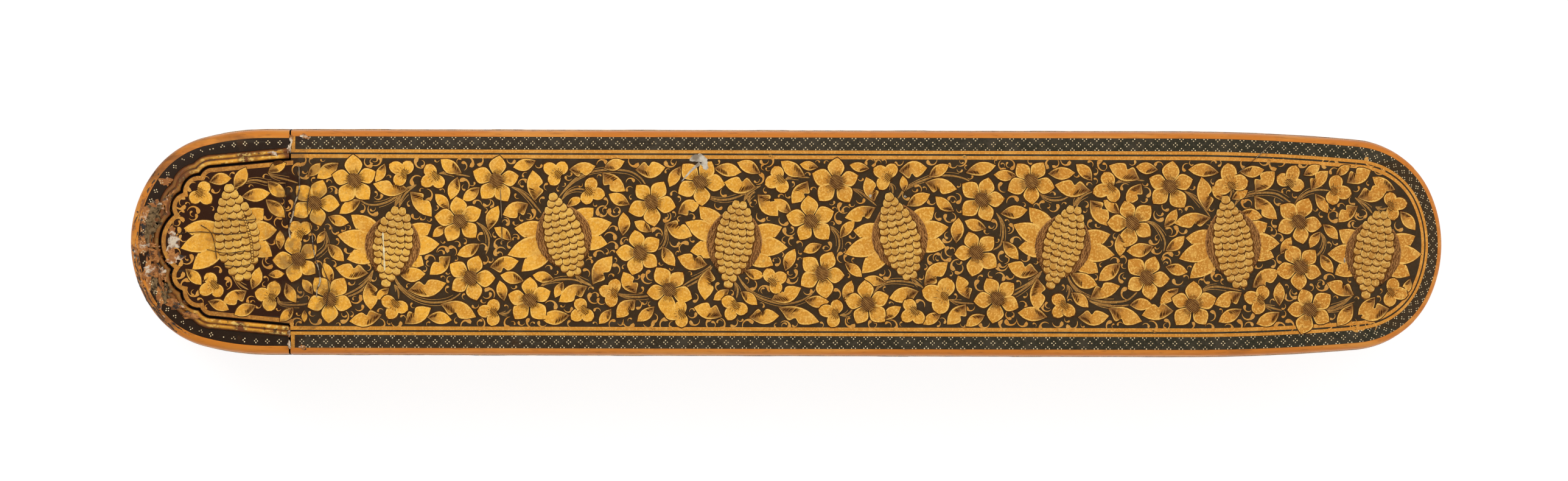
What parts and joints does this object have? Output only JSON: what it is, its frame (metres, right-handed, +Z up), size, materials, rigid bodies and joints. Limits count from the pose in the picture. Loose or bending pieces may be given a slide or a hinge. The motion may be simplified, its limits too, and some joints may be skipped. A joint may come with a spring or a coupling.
{
  "type": "sliding pen box",
  "caption": "Long round-ended lacquered pen box: a drawer with an inkwell and pen tray slides out of a painted sleeve, whose lobed tongue seats in the drawer's head.",
  "frame": {"origin": "middle of the closed box's base, on the surface it stands on", "axes": "+X along the box towards its closed end, +Z up out of the painted top"},
  "size_m": [0.23, 0.0398, 0.0384],
  "materials": {
    "black_lacquer": "near-black lacquer painted in gold, on papier-mache",
    "brown_lacquer": "brown and gold lacquer on papier-mache, worn",
    "gilt_moulding": "raised gilt moulding, rubbed",
    "red_lacquer": "plain dark red lacquer",
    "brass": "cast and turned brass, dull",
    "reed": "polished cane",
    "bone": "polished bone",
    "steel": "forged steel, ground"
  },
  "bodies": {
    "sleeve": {"sleeve_shell": "black_lacquer"},
    "drawer": {"head_block": "brown_lacquer", "lobed_moulding": "gilt_moulding", "tray_trough": "red_lacquer", "inkwell_partition": "red_lacquer", "inkwell_cup": "brass", "inkwell_collar": "brass", "hinge_pin": "brass", "reed_pen_1": "reed", "reed_pen_2": "reed", "reed_pen_3": "reed", "penknife_handle": "bone", "penknife_ferrule": "steel", "penknife_blade": "steel", "nibbing_block": "bone"},
    "inkwell_lid": {"inkwell_lid": "brass", "lid_finial": "brass"}
  },
  "joints": [
    {"name": "drawer_slide", "type": "slide", "parent": "sleeve", "child": "drawer", "axis": [-1, 0, 0], "range_m": [0, 0.185]},
    {"name": "inkwell_lid_hinge", "type": "hinge", "parent": "drawer", "child": "inkwell_lid", "pos_m": [-0.06465, 0, 0.02005], "axis": [0, 1, 0], "range_deg": [0, 105]}
  ]
}
